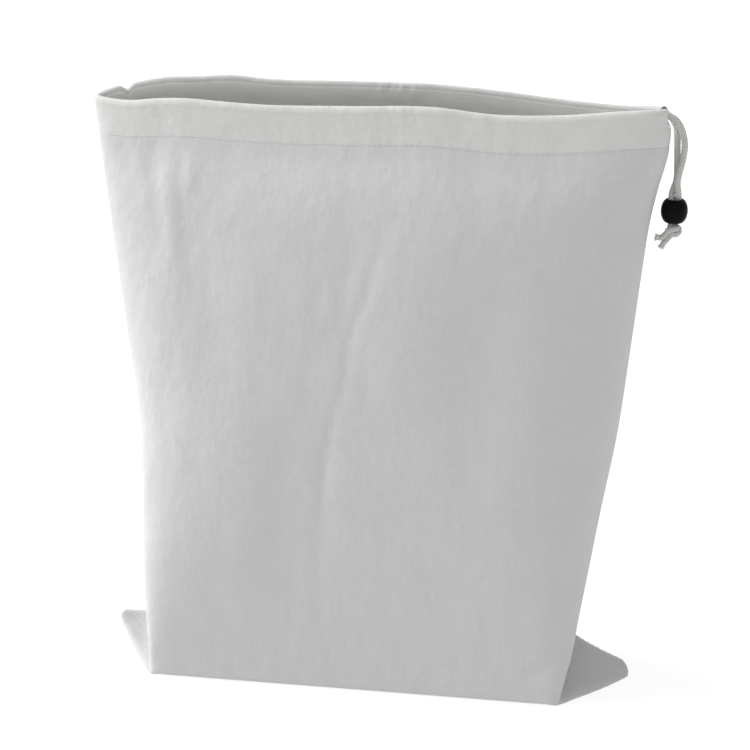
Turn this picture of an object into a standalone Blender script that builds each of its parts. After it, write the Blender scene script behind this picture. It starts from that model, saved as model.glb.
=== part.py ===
"""Drawstring shoe bag in thin white cotton, standing open on its pushed-out base.

Front faces -Y, +X is the viewer's right and +Z is up. The floor is z = 0 and the origin is under the
middle of the bag. All sizes are in metres.

The two cloth panels are rectangles, sewn along both sides and along the middle of the base. Each level
of the bag is a closed line as long as the cloth is wide, so its depth follows from its width. At the
bottom the corners of the cloth fold into two flat ears that lie on the floor.
"""

import math
from collections import namedtuple

import bmesh
import bpy
import numpy as np
from mathutils import Vector

# Driving sizes of the bag
FLAT_WIDTH = 0.354        # one panel, seam to seam
STAND_HEIGHT = 0.3605     # floor to rim at the side seams
BASE_DEPTH = 0.094        # front to back of the standing base
CLOTH = 0.0012            # thickness of the cotton
BAND = 0.022              # height of the drawcord casing, rim to stitch line
GAP = 0.0003              # clearance between neighbouring pieces
EAR_BLUNT = 0.010         # width of the turned-in tip of an ear
FOLD_DEPTH = 0.005        # how far the deepest soft fold presses a wall in
FLOOR_FOLD = 0.003        # height of the fold where a wall turns under
BASE_X = -0.0065          # where the base's middle stands

# Driving sizes of the drawcord
CORD = 0.0036             # diameter of the braided cord
CHANNEL_PLAY = 0.0006     # room between the cord and its casing
EXIT_SLOT = 0.017         # cloth length left open at the right seam, where the cord comes out
BEAD_WIDTH = 0.0156
BEAD_HEIGHT = 0.014
KNOT_WIDTH = 0.0094
KNOT_HEIGHT = 0.0074

HALF_BASE = (FLAT_WIDTH - BASE_DEPTH) / 2
EAR = BASE_DEPTH / 2      # an ear reaches out by half the base's depth
STITCH_LINE = 1 - BAND / STAND_HEIGHT

# One row a level: height as a share of STAND_HEIGHT; left and right ends past the base's half width,
# as shares of EAR; how straight the walls run to each end and how blunt each end is, as exponents;
# and how far the deepest place moves to the right, front and back, as a share of the half width.
Level = namedtuple("Level", "height left right straight_l straight_r blunt_l blunt_r skew_f skew_b")
LEVELS = (
    Level(0.00, 0.00, 0.00, 40.0, 40.0, 26.0, 26.0, 0.00, 0.00),
    Level(0.08, 0.05, 0.12, 20.0, 18.0, 12.0, 11.0, 0.00, 0.00),
    Level(0.20, 0.09, 0.27, 10.0, 8.5, 5.5, 4.8, 0.00, 0.00),
    Level(0.32, 0.13, 0.41, 6.5, 5.5, 3.4, 3.4, 0.02, 0.00),
    Level(0.45, 0.19, 0.57, 4.8, 4.2, 2.6, 2.8, 0.04, -0.02),
    Level(0.60, 0.35, 0.69, 3.8, 3.4, 2.3, 2.4, 0.06, -0.04),
    Level(0.75, 0.50, 0.80, 3.0, 2.6, 2.0, 2.4, 0.10, -0.06),
    Level(0.87, 0.60, 0.90, 2.6, 2.2, 1.9, 3.0, 0.14, -0.10),
    Level(0.93, 0.65, 0.98, 2.5, 2.0, 1.9, 4.4, 0.16, -0.11),
    Level(1.00, 0.70, 0.99, 2.5, 1.9, 1.9, 4.8, 0.18, -0.12),
)

# Height of the rim over STAND_HEIGHT, as shares of BAND, along the cloth from the left seam.
Rim = namedtuple("Rim", "across front back")
RIM = (
    Rim(0.00, -0.03, -0.03),
    Rim(0.04, -0.08, 0.10),
    Rim(0.08, -0.09, 0.20),
    Rim(0.13, 0.00, 0.30),
    Rim(0.18, 0.04, 0.33),
    Rim(0.24, 0.00, 0.36),
    Rim(0.30, -0.04, 0.30),
    Rim(0.45, -0.01, 0.27),
    Rim(0.60, 0.03, 0.25),
    Rim(0.70, -0.12, 0.16),
    Rim(0.80, -0.10, 0.04),
    Rim(0.92, 0.04, -0.04),
    Rim(1.00, 0.05, 0.05),
)

# Soft folds of the walls: where each starts and ends, across the cloth from the left seam and up the
# wall as shares of the panel; width as a share of FLAT_WIDTH; depth as a share of FOLD_DEPTH, inward.
Fold = namedtuple("Fold", "wall x0 z0 x1 z1 width depth")
FOLDS = (
    Fold("front", 0.545, 0.78, 0.44, 0.30, 0.050, 0.8),
    Fold("front", 0.610, 0.80, 0.50, 0.30, 0.055, -0.5),
    Fold("front", 0.130, 0.90, 0.150, 0.66, 0.030, 0.35),
    Fold("front", 0.175, 0.88, 0.190, 0.62, 0.030, -0.25),
    Fold("front", 0.280, 0.62, 0.300, 0.15, 0.080, 0.30),
    Fold("front", 0.780, 0.70, 0.760, 0.25, 0.080, 0.25),
    Fold("back", 0.450, 0.60, 0.550, 0.28, 0.080, -0.38),
    Fold("back", 0.280, 0.80, 0.350, 0.40, 0.060, 0.40),
)

# The ears, in shares of EAR: how far one reaches, how far its tip swings to the back and lifts off the
# floor, how high the cloth stands where the seam meets the ear, and how high the back fold rolls up.
Ear = namedtuple("Ear", "reach swing lift tent roll")
LEFT_EAR = Ear(0.78, 0.12, 0.32, 0.20, 0.07)
RIGHT_EAR = Ear(0.94, 0.20, 0.03, 0.16, 0.08)

# Places across an ear, seam to corner, as shares of EAR. Its rows lie as far apart as its columns.
EAR_STEPS = (0.0, 0.5 * EAR_BLUNT / EAR, 0.31, 0.53, 0.77, 1.0)
LAST_STEP = len(EAR_STEPS) - 1
MIDDLE_COLUMNS = 22
WALL_ROWS = 16
LINE_POINTS = 240

# Free ends of the drawcord, in millimetres from the rim at the right seam. Each starts at the end of
# its channel; the front strand bows out, and both go through the bead side by side to the knot.
STRAND_FRONT_ROUTE = (
    (2.2, -4.1, -3.6),
    (5.4, -3.2, -5.6),
    (8.3, -2.6, -9.6),
    (10.3, -2.2, -15.0),
    (11.2, -2.0, -20.5),
    (10.8, -2.0, -27.0),
    (9.7, -2.0, -33.0),
    (8.5, -2.0, -39.0),
    (8.2, -1.9, -43.0),
    (8.9, -1.7, -47.5),
    (9.15, -0.65, -50.5),
    (9.15, 0.0, -54.0),
    (9.15, 0.0, -60.0),
    (9.15, 0.0, -66.4),
)
STRAND_BACK_ROUTE = (
    (1.4, 3.9, -4.2),
    (3.9, 3.0, -6.8),
    (5.9, 2.3, -10.8),
    (6.8, 2.0, -16.5),
    (7.2, 2.0, -24.0),
    (7.5, 2.0, -32.0),
    (7.7, 2.0, -38.5),
    (7.2, 2.0, -43.0),
    (5.7, 1.7, -47.5),
    (5.25, 0.65, -50.5),
    (5.25, 0.0, -54.0),
    (5.25, 0.0, -60.0),
    (5.25, 0.0, -66.4),
)
TAIL_UPPER_ROUTE = (
    (2.4, -0.8, -71.6),
    (0.6, -1.4, -72.8),
    (-2.2, -1.8, -74.2),
)
TAIL_LOWER_ROUTE = (
    (4.6, 0.8, -74.6),
    (3.2, 0.9, -77.2),
    (0.8, 0.6, -80.6),
)
BEAD_PLACE = (7.2, 0.0, -59.0)
KNOT_PLACE = (7.2, 0.0, -70.4)
CORD_STEP = 2.2           # distance between a cord's points, in diameters
CORD_LEAD = 0.7           # straight cord past the end of its channel, in diameters
CORD_SIDES = 2            # bevel resolution of a cord's tube

# Casing and bead details
FLAT_CHANNEL = 0.0004     # room between the casing's layers under the cord
BULB_OUT = 0.3            # share of the cord's bulge that shows outside the bag
BULB_SIDES = 7
BULB_START = -30.0        # where the bulge starts, in degrees below level
MIN_STATION = 0.003       # least length of casing between two stations
BEAD_LIP = 0.0008
BEAD_ARC = 8
BEAD_ROUND = 0.85
KNOT_LUMP = 0.08


def clear_scene():
    for old in list(bpy.data.objects):
        bpy.data.objects.remove(old, do_unlink=True)


def material(name, colour, roughness):
    made = bpy.data.materials.new(name)
    made.use_nodes = True
    shader = made.node_tree.nodes["Principled BSDF"]
    shader.inputs["Base Color"].default_value = (*colour, 1.0)
    shader.inputs["Roughness"].default_value = roughness
    shader.inputs["Metallic"].default_value = 0.0
    return made


def smooth_read(rows, key, value, at):
    """Value of a table's column at a place between its rows, through a smooth curve."""
    xs = np.array([getattr(row, key) for row in rows])
    ys = np.array([getattr(row, value) for row in rows])
    slopes = np.gradient(ys, xs)
    i = int(np.clip(np.searchsorted(xs, at) - 1, 0, len(xs) - 2))
    step = xs[i + 1] - xs[i]
    t = (at - xs[i]) / step
    rise = 3 * t**2 - 2 * t**3
    lead = (t**3 - 2 * t**2 + t) * slopes[i] * step
    trail = (t**3 - t**2) * slopes[i + 1] * step
    return float(ys[i] + (ys[i + 1] - ys[i]) * rise + lead + trail)


def level_line(up, wall):
    """Plan of one wall at a level, as many points from the left seam to the right seam."""
    def read(name):
        return smooth_read(LEVELS, "height", name, up)

    left = BASE_X - HALF_BASE - read("left") * EAR
    right = BASE_X + HALF_BASE + read("right") * EAR
    turn = np.linspace(0.0, math.pi, LINE_POINTS)
    on_left = turn < math.pi / 2
    straight = np.where(on_left, read("straight_l"), read("straight_r"))
    blunt = np.where(on_left, read("blunt_l"), read("blunt_r"))
    across = -np.sign(np.cos(turn)) * np.abs(np.cos(turn)) ** (2 / straight)
    bow = np.sin(turn).clip(0.0) ** (2 / blunt)
    bow[[0, -1]] = 0.0
    skew = read("skew_f" if wall == "front" else "skew_b")
    across = across + skew * bow * (1 - across**2)
    x = (left + right) / 2 + across * (right - left) / 2
    shallow = 0.0
    deep = FLAT_WIDTH
    for _ in range(40):
        depth = (shallow + deep) / 2
        length = np.hypot(np.diff(x), np.diff(bow * depth)).sum()
        if length < FLAT_WIDTH:
            shallow = depth
        else:
            deep = depth
    facing = -1.0 if wall == "front" else 1.0
    return np.stack([x, facing * bow * depth], axis=1)


def plan_at(up, wall, shares):
    """Points of a wall's plan at shares of the cloth's width, and the directions out of the bag."""
    line = level_line(up, wall)
    facing = -1.0 if wall == "front" else 1.0
    run = np.concatenate([[0.0], np.cumsum(np.hypot(*np.diff(line, axis=0).T))])
    run = run / run[-1]
    points = np.stack([np.interp(shares, run, line[:, i]) for i in (0, 1)], axis=1)
    before = np.stack([np.interp(np.array(shares) - 0.002, run, line[:, i]) for i in (0, 1)], axis=1)
    after = np.stack([np.interp(np.array(shares) + 0.002, run, line[:, i]) for i in (0, 1)], axis=1)
    along = after - before
    along = along / np.linalg.norm(along, axis=1)[:, None]
    outward = np.stack([-facing * along[:, 1], facing * along[:, 0]], axis=1)
    for i, share in enumerate(shares):
        if share in (0.0, 1.0):
            outward[i] = (-1.0 if share == 0.0 else 1.0, 0.0)
    return points, outward


def cloth_columns():
    """Shares of the cloth's width where the panels have their columns."""
    ear = [step * EAR / FLAT_WIDTH for step in EAR_STEPS]
    middle = np.linspace(ear[-1], 1 - ear[-1], MIDDLE_COLUMNS + 1)
    return [*ear[:-1], *middle, *[1 - share for share in reversed(ear[:-1])]]


def fold_depth(wall, across, up):
    """How far the soft folds press the wall in at a place on the cloth."""
    depth = 0.0
    for fold in FOLDS:
        if fold.wall != wall:
            continue
        start = np.array([fold.x0 * FLAT_WIDTH, fold.z0 * STAND_HEIGHT])
        along = np.array([fold.x1 * FLAT_WIDTH, fold.z1 * STAND_HEIGHT]) - start
        here = np.array([across * FLAT_WIDTH, up * STAND_HEIGHT]) - start
        length = np.linalg.norm(along)
        share = here @ along / length**2
        aside = abs(here[0] * along[1] - here[1] * along[0]) / length
        past = max(-share, share - 1.0, 0.0) * length
        reach = math.hypot(aside, past) / (fold.width * FLAT_WIDTH)
        depth += fold.depth * FOLD_DEPTH * math.exp(-reach**2)
    return depth


def wall_height(wall, across, up):
    """Height over the floor of a place on a wall, which follows the rim."""
    lift = BAND * smooth_read(RIM, "across", wall, across)
    return up * (STAND_HEIGHT + lift * up**2)


def wall_points(wall, up, shares, inward=0.0):
    """One level of a wall in the round, pressed in by its folds."""
    points, outward = plan_at(up, wall, shares)
    row = []
    for share, point, out in zip(shares, points, outward):
        place = point - out * (inward + fold_depth(wall, share, up))
        row.append(Vector((place[0], place[1], wall_height(wall, share, up))))
    return row


def ear_top(ear, lateral, reach, roll=0.0):
    """Height of an ear's upper layer: lateral runs from seam to corner, reach from wall to tip."""
    low = 2 * CLOTH + roll * lateral * EAR
    return low + (ear.tent * EAR - low) * (1 - lateral) * (1 - reach) ** 2


def foot_rise(column, columns):
    """Height at which a wall stands on its ear; nothing along the front and back."""
    last = len(columns) - 1
    from_seam = min(column, last - column)
    if from_seam >= LAST_STEP:
        return 0.0
    ear = LEFT_EAR if column < last / 2 else RIGHT_EAR
    return ear_top(ear, EAR_STEPS[from_seam], 0.0)


def closed_level(up, columns, inward=0.0, drop=0.0):
    """A level's closed line of points: front wall left to right, then back wall right to left."""
    front = wall_points("front", up, columns, inward)
    back = wall_points("back", up, columns, inward)
    settle = (1 - up) ** 12
    for row in (front, back):
        for column, point in enumerate(row):
            point.z += foot_rise(column, columns) * settle - drop
    return front + back[-2:0:-1]


def floor_level(columns, inward, height, under):
    """The line where the walls turn under, moved in by the fold along the front and back."""
    level = closed_level(0.0, columns, inward)
    count = len(columns) - 1
    for i, point in enumerate(level):
        column = i if i <= count else 2 * count - i
        from_seam = min(column, count - column)
        if from_seam >= LAST_STEP:
            point.y -= math.copysign(under, point.y)
            point.z = height
        else:
            point.z = height if inward else foot_rise(column, columns)
    return level


def base_levels(foot, columns):
    """Levels from the foot line to the middle of the base, with the ears' upper and under layers."""
    count = len(columns) - 1
    levels = []
    for row in range(1, LAST_STEP + 1):
        taken = 1 - EAR_STEPS[LAST_STEP - row]
        level = []
        for i, start in enumerate(foot):
            column = i if i <= count else 2 * count - i
            from_seam = min(column, count - column)
            if from_seam > LAST_STEP:
                level.append(Vector((start.x, start.y * (1 - taken), 0.0)))
                continue
            upper = from_seam + row < LAST_STEP
            step = from_seam if from_seam + row <= LAST_STEP else LAST_STEP - row
            reach = min(1 - EAR_STEPS[from_seam] if not upper else taken, 1 - EAR_STEPS[1])
            on_left = column < count / 2
            ear = LEFT_EAR if on_left else RIGHT_EAR
            foot_column = step if on_left else count - step
            carried = foot[foot_column if i <= count else (2 * count - foot_column) % (2 * count)]
            roll = ear.roll if i > count else 0.0
            if upper:
                height = ear_top(ear, EAR_STEPS[step], reach, roll)
            else:
                height = CLOTH + roll * EAR / 2 if from_seam + row == LAST_STEP else 0.0
            out = -reach * EAR if on_left else reach * EAR
            level.append(Vector((carried.x + out, carried.y, height)))
        levels.append(level)
    for point in levels[-1]:
        point.y = 0.0
    return levels


def bag_form():
    """Closed form of the whole bag, hollow and open at the stitch line, before it is cut in panels."""
    columns = cloth_columns()
    rises = [STITCH_LINE * (1 - row / WALL_ROWS) for row in range(WALL_ROWS)]
    first = FLOOR_FOLD / STAND_HEIGHT
    outer = [closed_level(up, columns, drop=GAP if up == STITCH_LINE else 0.0) for up in rises]
    outer.append(closed_level(first, columns))
    outer.append(floor_level(columns, 0.0, 0.0, FLOOR_FOLD / 2))
    outer += base_levels(outer[-1], columns)
    inner = [closed_level(up, columns, CLOTH, GAP if up == STITCH_LINE else 0.0) for up in rises]
    inner.append(closed_level(first, columns, CLOTH))
    inner.append(floor_level(columns, CLOTH, CLOTH, FLOOR_FOLD / 2))

    bm = bmesh.new()
    outer_rings = [[bm.verts.new(point) for point in level] for level in outer]
    inner_rings = [[bm.verts.new(point) for point in level] for level in inner]
    foot = len(outer) - LAST_STEP - 1
    for row, (above, below) in enumerate(zip(outer_rings, outer_rings[1:])):
        join_levels(bm, above, below, LAST_STEP - 1 - (row - foot))
    for above, below in zip(inner_rings, inner_rings[1:]):
        join_levels(bm, above, below)
    join_levels(bm, outer_rings[0], inner_rings[0])
    bm.faces.new(inner_rings[-1])
    bmesh.ops.remove_doubles(bm, verts=bm.verts, dist=1e-6)
    bmesh.ops.recalc_face_normals(bm, faces=bm.faces)
    return bm


def join_levels(bm, above, below, fold=None):
    """Faces between two closed levels. An ear's fold crosses the cell that is fold cells from a seam."""
    around = len(above)
    count = around // 2
    for i in range(around):
        j = (i + 1) % around
        from_seam = [min(k % count, count - k % count) for k in (i, j)]
        if min(from_seam) != fold or max(from_seam) > LAST_STEP:
            bm.faces.new((above[i], above[j], below[j], below[i]))
        elif from_seam[0] < from_seam[1]:
            bm.faces.new((above[i], above[j], below[i]))
            bm.faces.new((above[j], below[j], below[i]))
        else:
            bm.faces.new((above[i], above[j], below[j]))
            bm.faces.new((above[i], below[j], below[i]))


def bend_ears(bm):
    """Swing and lift each ear towards its tip."""
    for vert in bm.verts:
        past = abs(vert.co.x - BASE_X) - HALF_BASE
        if past <= 0 or vert.co.z > EAR / 2:
            continue
        ear = LEFT_EAR if vert.co.x < BASE_X else RIGHT_EAR
        reach = past / EAR
        vert.co.x -= math.copysign(past * (1 - ear.reach), vert.co.x)
        vert.co.y += ear.swing * EAR * reach**1.3
        vert.co.z += ear.lift * EAR * reach**1.5


def ear_rungs(bm, cut):
    """Upright edges that divide the seam's cut face through each ear, so that it bends evenly."""
    verts = {vert for edge in cut for vert in edge.verts}
    rungs = []
    for side in (-1, 1):
        for step in EAR_STEPS[1:]:
            x = BASE_X + side * (HALF_BASE + (1 - step) * EAR)
            rung = sorted((vert for vert in verts if abs(vert.co.x - x) < 1e-6), key=lambda v: v.co.z)
            if len(rung) == 2:
                rungs.append(bm.edges.new(rung))
    return rungs


def build_panel(name, wall, look, collection):
    """One cloth panel: the half of the form on its side of the seams."""
    bm = bag_form()
    facing = -1.0 if wall == "front" else 1.0
    everything = bm.verts[:] + bm.edges[:] + bm.faces[:]
    seam = (0.0, facing * GAP / 2, 0.0)
    bmesh.ops.bisect_plane(bm, geom=everything, plane_co=seam, plane_no=(0.0, -facing, 0.0),
                           clear_outer=True)
    cut = [edge for edge in bm.edges if edge.is_boundary]
    bmesh.ops.edgenet_fill(bm, edges=cut + ear_rungs(bm, cut))
    bend_ears(bm)
    bmesh.ops.recalc_face_normals(bm, faces=bm.faces)
    return add_mesh(name, bm, look, collection)


def add_mesh(name, bm, look, collection):
    mesh = bpy.data.meshes.new(name)
    bm.to_mesh(mesh)
    bm.free()
    mesh.materials.append(look)
    made = bpy.data.objects.new(name, mesh)
    collection.objects.link(made)
    return made


def casing_profile():
    """Closed outline of the casing: how far out of the cloth's face and how high over its stitches."""
    bulb = CORD / 2 + CHANNEL_PLAY + CLOTH
    middle = (-bulb + BULB_OUT * bulb, BAND - bulb)
    outline = [(0.0, GAP), (0.0, BAND / 2)]
    for i in range(BULB_SIDES):
        turn = math.radians(BULB_START + (180 - 2 * BULB_START) * i / (BULB_SIDES - 1))
        outline.append((middle[0] + bulb * math.cos(turn), middle[1] + bulb * math.sin(turn)))
    skirt = -2 * CLOTH - FLAT_CHANNEL
    outline += [(skirt, BAND / 2), (skirt, GAP)]
    return outline, middle


def mouth_stations():
    """Places round the mouth, from the exit slot along the front, round the left end and back."""
    last = 1 - EXIT_SLOT / 2 / FLAT_WIDTH
    shares = [share for share in cloth_columns() if share < last - MIN_STATION / FLAT_WIDTH] + [last]
    front = [("front", share) for share in reversed(shares)]
    back = [("back", share) for share in shares[1:]]
    return front + back


def mouth_places(outward, over_stitch):
    """Points at one place of the casing's outline, for every station round the mouth."""
    up = 1 - (BAND - over_stitch) / STAND_HEIGHT
    stations = mouth_stations()
    places = []
    for wall in ("front", "back"):
        shares = [share for side, share in stations if side == wall]
        points, facing = plan_at(up, wall, shares)
        for share, point, out in zip(shares, points, facing):
            place = point + out * (outward - fold_depth(wall, share, up))
            places.append(Vector((place[0], place[1], wall_height(wall, share, up))))
    return places


def build_casing(look, collection):
    """The hem that holds the cord: a flat tube round the mouth, open at the right seam."""
    outline, _ = casing_profile()
    bm = bmesh.new()
    lines = [[bm.verts.new(place) for place in mouth_places(*at)] for at in outline]
    for line, after in zip(lines, lines[1:] + lines[:1]):
        for i in range(len(line) - 1):
            bm.faces.new((line[i], line[i + 1], after[i + 1], after[i]))
    bmesh.ops.recalc_face_normals(bm, faces=bm.faces)
    casing = add_mesh("casing", bm, look, collection)
    wall = casing.modifiers.new("cloth", "SOLIDIFY")
    wall.thickness = CLOTH
    wall.offset = -1.0
    return casing


def smooth_route(points, spacing):
    """Evenly spaced points on one smooth curve through a route's own points."""
    ends = [2 * points[0] - points[1], *points, 2 * points[-1] - points[-2]]
    fine = []
    for a, b, c, d in zip(ends, ends[1:], ends[2:], ends[3:]):
        for i in range(16):
            t = i / 16
            curve = 2 * b + (c - a) * t + (2 * a - 5 * b + 4 * c - d) * t**2
            fine.append((curve + (3 * b - a - 3 * c + d) * t**3) / 2)
    fine.append(points[-1])
    run = np.concatenate([[0.0], np.cumsum([(b - a).length for a, b in zip(fine, fine[1:])])])
    places = np.linspace(0.0, run[-1], max(3, round(run[-1] / spacing) + 1))
    axes = [np.interp(places, run, [point[axis] for point in fine]) for axis in range(3)]
    return [Vector(point) for point in zip(*axes)]


def build_cord(name, points, look, collection):
    """A round cord along its points, with flat ends."""
    curve = bpy.data.curves.new(name, "CURVE")
    curve.dimensions = "3D"
    curve.bevel_depth = CORD / 2
    curve.bevel_resolution = CORD_SIDES
    curve.use_fill_caps = True
    spline = curve.splines.new("POLY")
    spline.points.add(len(points) - 1)
    for place, point in zip(spline.points, points):
        place.co = (*point, 1.0)
    curve.materials.append(look)
    made = bpy.data.objects.new(name, curve)
    collection.objects.link(made)
    return made


def exit_corner():
    """The rim at the right seam, from which the free cord's places are counted."""
    points, _ = plan_at(1.0, "front", [1.0])
    return Vector((points[0][0], 0.0, STAND_HEIGHT))


def free_route(route, start=None):
    """A free cord's points: its chosen places, after the end of its channel where it has one."""
    places = [exit_corner() + Vector(place) / 1000 for place in route]
    if not start:
        return smooth_route(places, CORD_STEP * CORD)
    before, end = start
    out = (end - before).normalized()
    lead = end + out * (GAP + CORD_LEAD * CORD)
    return [end + out * GAP, *smooth_route([lead, *places], CORD_STEP * CORD)]


def build_drawcord(collection):
    """The cord's hidden run through the casing, its two strands and their knotted tails."""
    _, middle = casing_profile()
    run = mouth_places(*middle)
    cord = material("cotton_cord", (0.62, 0.62, 0.60), 0.85)
    build_cord("drawcord_run", run, cord, collection)
    build_cord("strand_front", free_route(STRAND_FRONT_ROUTE, (run[1], run[0])), cord.copy(), collection)
    build_cord("strand_back", free_route(STRAND_BACK_ROUTE, (run[-2], run[-1])), cord.copy(), collection)
    build_cord("tail_upper", free_route(TAIL_UPPER_ROUTE), cord.copy(), collection)
    build_cord("tail_lower", free_route(TAIL_LOWER_ROUTE), cord.copy(), collection)


def build_bead(collection):
    """Turned bead whose hole takes both strands side by side."""
    hole = CORD + 1.5 * GAP
    half = BEAD_HEIGHT / 2
    flat = hole + BEAD_LIP
    profile = [(hole, half), (flat, half)]
    for i in range(1, BEAD_ARC):
        turn = math.pi * i / BEAD_ARC
        profile.append((flat + (BEAD_WIDTH / 2 - flat) * math.sin(turn) ** BEAD_ROUND, half * math.cos(turn)))
    profile += [(flat, -half), (hole, -half)]
    mesh = bpy.data.meshes.new("bead")
    edges = [(i, (i + 1) % len(profile)) for i in range(len(profile))]
    mesh.from_pydata([(x, 0.0, z) for x, z in profile], edges, [])
    mesh.materials.append(material("black_bead", (0.01, 0.01, 0.01), 0.35))
    bead = bpy.data.objects.new("bead", mesh)
    bead.location = exit_corner() + Vector(BEAD_PLACE) / 1000
    turned = bead.modifiers.new("turned", "SCREW")
    turned.steps = 24
    turned.render_steps = 24
    turned.use_merge_vertices = True
    turned.merge_threshold = 0.00001
    collection.objects.link(bead)
    return bead


def build_knot(collection):
    """The overhand knot that stops the bead, as one closed lump of crossing strands."""
    bm = bmesh.new()
    bmesh.ops.create_uvsphere(bm, u_segments=16, v_segments=10, radius=0.5)
    for vert in bm.verts:
        turn = math.atan2(vert.co.y, vert.co.x)
        swell = 1 + KNOT_LUMP * math.sin(3 * turn + 6 * vert.co.z)
        vert.co = (vert.co.x * swell * KNOT_WIDTH, vert.co.y * swell * KNOT_WIDTH * 0.9,
                   vert.co.z * KNOT_HEIGHT)
    knot = add_mesh("knot", bm, material("knotted_cord", (0.62, 0.62, 0.60), 0.85), collection)
    knot.location = exit_corner() + Vector(KNOT_PLACE) / 1000
    return knot


def main():
    clear_scene()
    bag = bpy.data.collections.new("drawstring_shoe_bag")
    bpy.context.scene.collection.children.link(bag)
    cotton = material("white_cotton", (0.72, 0.72, 0.70), 0.9)
    build_panel("front_panel", "front", cotton, bag)
    build_panel("back_panel", "back", cotton.copy(), bag)
    build_casing(cotton.copy(), bag)
    build_drawcord(bag)
    build_bead(bag)
    build_knot(bag)


main()
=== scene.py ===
# %% [markdown]
# # A drawstring shoe bag in thin white cotton
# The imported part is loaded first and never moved. It gives the true sizes: every piece made below lies
# where a solid of the part lies. Its box is kept, so that the finished bag can be held against it.

# %% Load the frame
import math
from collections import namedtuple

import bmesh
import bpy
import numpy as np
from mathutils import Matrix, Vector


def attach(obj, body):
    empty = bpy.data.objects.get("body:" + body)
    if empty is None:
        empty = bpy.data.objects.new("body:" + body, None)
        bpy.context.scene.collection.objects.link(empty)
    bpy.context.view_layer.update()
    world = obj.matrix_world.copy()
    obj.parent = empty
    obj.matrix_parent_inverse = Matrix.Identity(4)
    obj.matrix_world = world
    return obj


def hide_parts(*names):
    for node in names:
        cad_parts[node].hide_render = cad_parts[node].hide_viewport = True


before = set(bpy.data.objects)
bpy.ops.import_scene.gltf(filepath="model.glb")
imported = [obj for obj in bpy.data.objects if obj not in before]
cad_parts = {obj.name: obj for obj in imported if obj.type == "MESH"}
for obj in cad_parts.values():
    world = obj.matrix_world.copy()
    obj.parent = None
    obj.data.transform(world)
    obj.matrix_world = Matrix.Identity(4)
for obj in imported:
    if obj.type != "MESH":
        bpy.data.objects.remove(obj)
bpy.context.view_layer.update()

# %% [markdown]
# ## Camera
# The bag was photographed from a little above and a little to its left, with a long lens that keeps
# its sides nearly parallel. The camera could be placed by eye. Here it stands at measured angles, so
# that the render's outline can be laid over the photograph's.

# %% Place the camera
CAMERA_TURN = 9.26        # degrees round the bag, from straight ahead
CAMERA_RISE = 18.44       # degrees above level
CAMERA_AWAY = 1.106
LOOKED_AT = Vector((0.0013, 0.0, 0.1915))
LENS = 86.4

turn = math.radians(CAMERA_TURN)
rise = math.radians(CAMERA_RISE)
away = Vector((math.sin(turn) * math.cos(rise), -math.cos(turn) * math.cos(rise), math.sin(rise)))
scene = bpy.context.scene
camera = bpy.data.objects.new("camera", bpy.data.cameras.new("camera"))
camera.data.lens = LENS
camera.data.sensor_width = 36.0
camera.data.clip_start = 0.02
camera.location = LOOKED_AT + away * CAMERA_AWAY
camera.rotation_euler = (-away).to_track_quat("-Z", "Y").to_euler()
scene.collection.objects.link(camera)
scene.camera = camera
print("camera at", [round(x, 3) for x in camera.location])

# %% [markdown]
# ## Reading a table through a smooth curve
# A soft thing has no straight runs. Its levels, rim and folds are written as short tables, and every
# value between two rows is read from a smooth curve, so that a few numbers give a soft form.

# %% A reader for tables
def smooth_read(rows, key, value, at):
    """Values of a table's column at places between its rows."""
    xs = np.array([getattr(row, key) for row in rows])
    ys = np.array([getattr(row, value) for row in rows])
    slopes = np.gradient(ys, xs)
    i = np.clip(np.searchsorted(xs, at) - 1, 0, len(xs) - 2)
    step = xs[i + 1] - xs[i]
    t = (at - xs[i]) / step
    lead = (t**3 - 2 * t**2 + t) * slopes[i] * step
    trail = (t**3 - t**2) * slopes[i + 1] * step
    return ys[i] + (ys[i + 1] - ys[i]) * (3 * t**2 - 2 * t**3) + lead + trail


# %% [markdown]
# ## The cloth's measurements
# The bag is two rectangles of cotton, sewn along both sides and along the middle of the base. Every
# level of the standing bag is a closed line as long as the two cloths are wide: where the bag is
# narrow seen from the front, it is deep from front to back. That one rule gives its full form.
# In the table, left and right say how far a level reaches past the base, as shares of an ear.
# Straight and blunt are the powers of a superellipse, which square off the two ends of the level,
# and skew moves the fullest part of the front or back to one side.

# %% Sizes and the table of levels
FLAT_WIDTH = 0.354        # one cloth, seam to seam
STAND_HEIGHT = 0.3605     # floor to rim at the side seams
BASE_DEPTH = 0.094
BAND = 0.022              # rim to stitch line
COTTON = 0.0005           # thickness of the cloth that is seen
BASE_X = -0.0065
HALF_BASE = (FLAT_WIDTH - BASE_DEPTH) / 2
EAR = BASE_DEPTH / 2
STITCH_LINE = 1 - BAND / STAND_HEIGHT
LINE_POINTS = 400

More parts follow.
